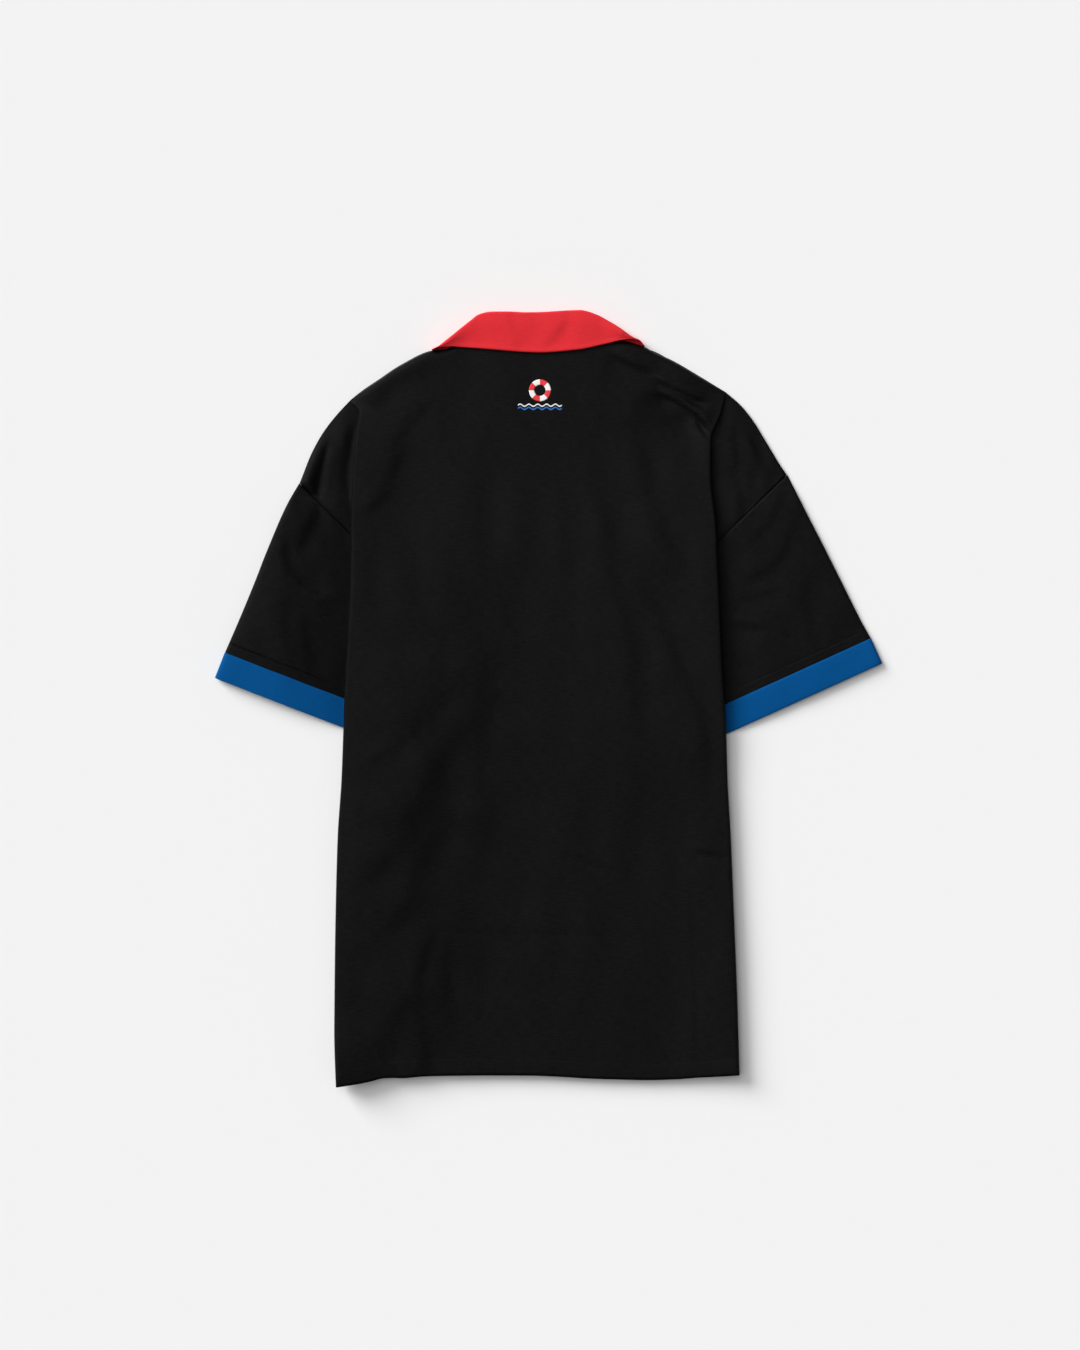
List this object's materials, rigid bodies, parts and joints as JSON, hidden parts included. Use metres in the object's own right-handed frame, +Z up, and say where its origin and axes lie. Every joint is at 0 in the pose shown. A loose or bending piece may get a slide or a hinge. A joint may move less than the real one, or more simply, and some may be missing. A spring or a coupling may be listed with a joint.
{
  "type": "button-up short-sleeved shirt",
  "caption": "Short-sleeved button-up shirt laid flat with its back up, with a turned-down collar and banded sleeves, for dressing a bed, shelf or shop table.",
  "frame": {"origin": "middle of the bounding box, on the surface that the shirt lies on", "axes": "+Z up out of the back of the shirt, +Y to the collar, +X to the sleeve at the right as seen from above"},
  "size_m": [0.6669, 0.7743, 0.0216],
  "materials": {
    "black_cloth": "fine black woven cotton with a slight sheen",
    "red_cloth": "matt red woven cotton",
    "blue_cloth": "matt blue woven cotton",
    "button": "black four-hole shirt button"
  },
  "bodies": {
    "root": {"back": "black_cloth", "front_left": "black_cloth", "front_right": "black_cloth", "sleeve_left": "black_cloth", "sleeve_right": "black_cloth", "band_left": "blue_cloth", "band_right": "blue_cloth", "collar": "red_cloth", "button_1": "button", "button_2": "button", "button_3": "button", "button_4": "button", "button_5": "button", "button_6": "button"}
  },
  "joints": []
}
